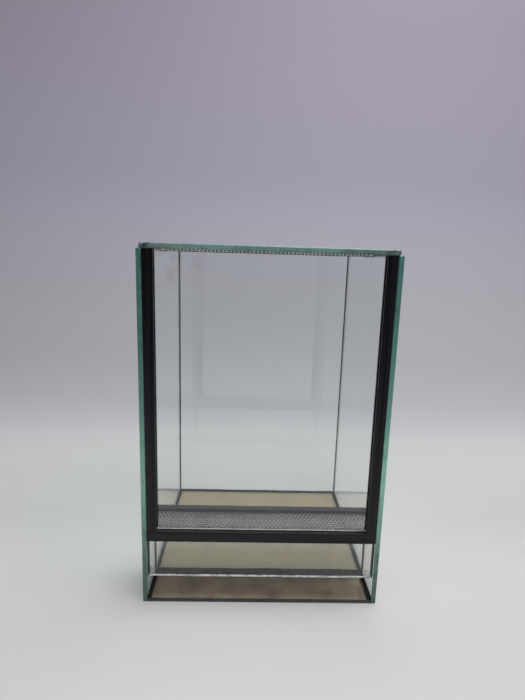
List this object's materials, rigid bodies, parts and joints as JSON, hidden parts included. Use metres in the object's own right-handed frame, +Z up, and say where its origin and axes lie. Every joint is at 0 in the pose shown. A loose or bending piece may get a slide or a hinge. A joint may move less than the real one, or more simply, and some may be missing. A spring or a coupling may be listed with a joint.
{
  "type": "small animal terrarium",
  "caption": "Clear glass tank for a small pet, with a lift-up front door in black channels, a ventilated air chamber at the bottom front and a part-perforated top",
  "frame": {"origin": "centre of the underside, on the surface the tank stands on", "axes": "+Z up, -Y towards the front (the door), +X to the right seen from the front"},
  "size_m": [0.2, 0.195, 0.3004],
  "materials": {
    "clear_glass": "clear float glass, polished, edges ground and seamed with a green tint",
    "black_profile": "extruded black plastic, satin, faint draw lines along the run",
    "perforated_aluminium": "thin mill-finish sheet with round staggered holes",
    "black_silicone": "cured black silicone sealant, smooth and slightly glossy, tooled concave",
    "tan_backing": "matt tan sheet bonded under the floor pane"
  },
  "bodies": {
    "tank": {"left_side_glass": "clear_glass", "right_side_glass": "clear_glass", "rear_glass": "clear_glass", "floor_glass": "clear_glass", "front_strip_glass": "clear_glass", "barrier_glass": "clear_glass", "top_front_glass": "clear_glass", "top_rear_glass": "clear_glass", "floor_backing": "tan_backing", "left_channel": "black_profile", "right_channel": "black_profile", "lower_rail": "black_profile", "barrier_cap": "black_profile", "lower_perforated_sheet": "perforated_aluminium", "top_perforated_sheet": "perforated_aluminium", "floor_bead_rear": "black_silicone", "barrier_bead_front": "black_silicone", "barrier_bead_rear": "black_silicone", "top_bead_rear": "black_silicone", "sheet_bead_front": "black_silicone", "sheet_bead_rear": "black_silicone", "floor_bead_left": "black_silicone", "floor_bead_right": "black_silicone", "chamber_bead_left": "black_silicone", "chamber_bead_right": "black_silicone", "barrier_seam_left": "black_silicone", "barrier_seam_right": "black_silicone", "rear_corner_bead_left": "black_silicone", "rear_corner_bead_right": "black_silicone", "strip_joint_left": "black_silicone", "strip_joint_right": "black_silicone", "top_bead_left": "black_silicone", "top_bead_right": "black_silicone"},
    "door": {"door_glass": "clear_glass"}
  },
  "joints": [
    {"name": "door_lift", "type": "slide", "parent": "tank", "child": "door", "axis": [0, 0, 1], "range_m": [0, 0.235]}
  ]
}
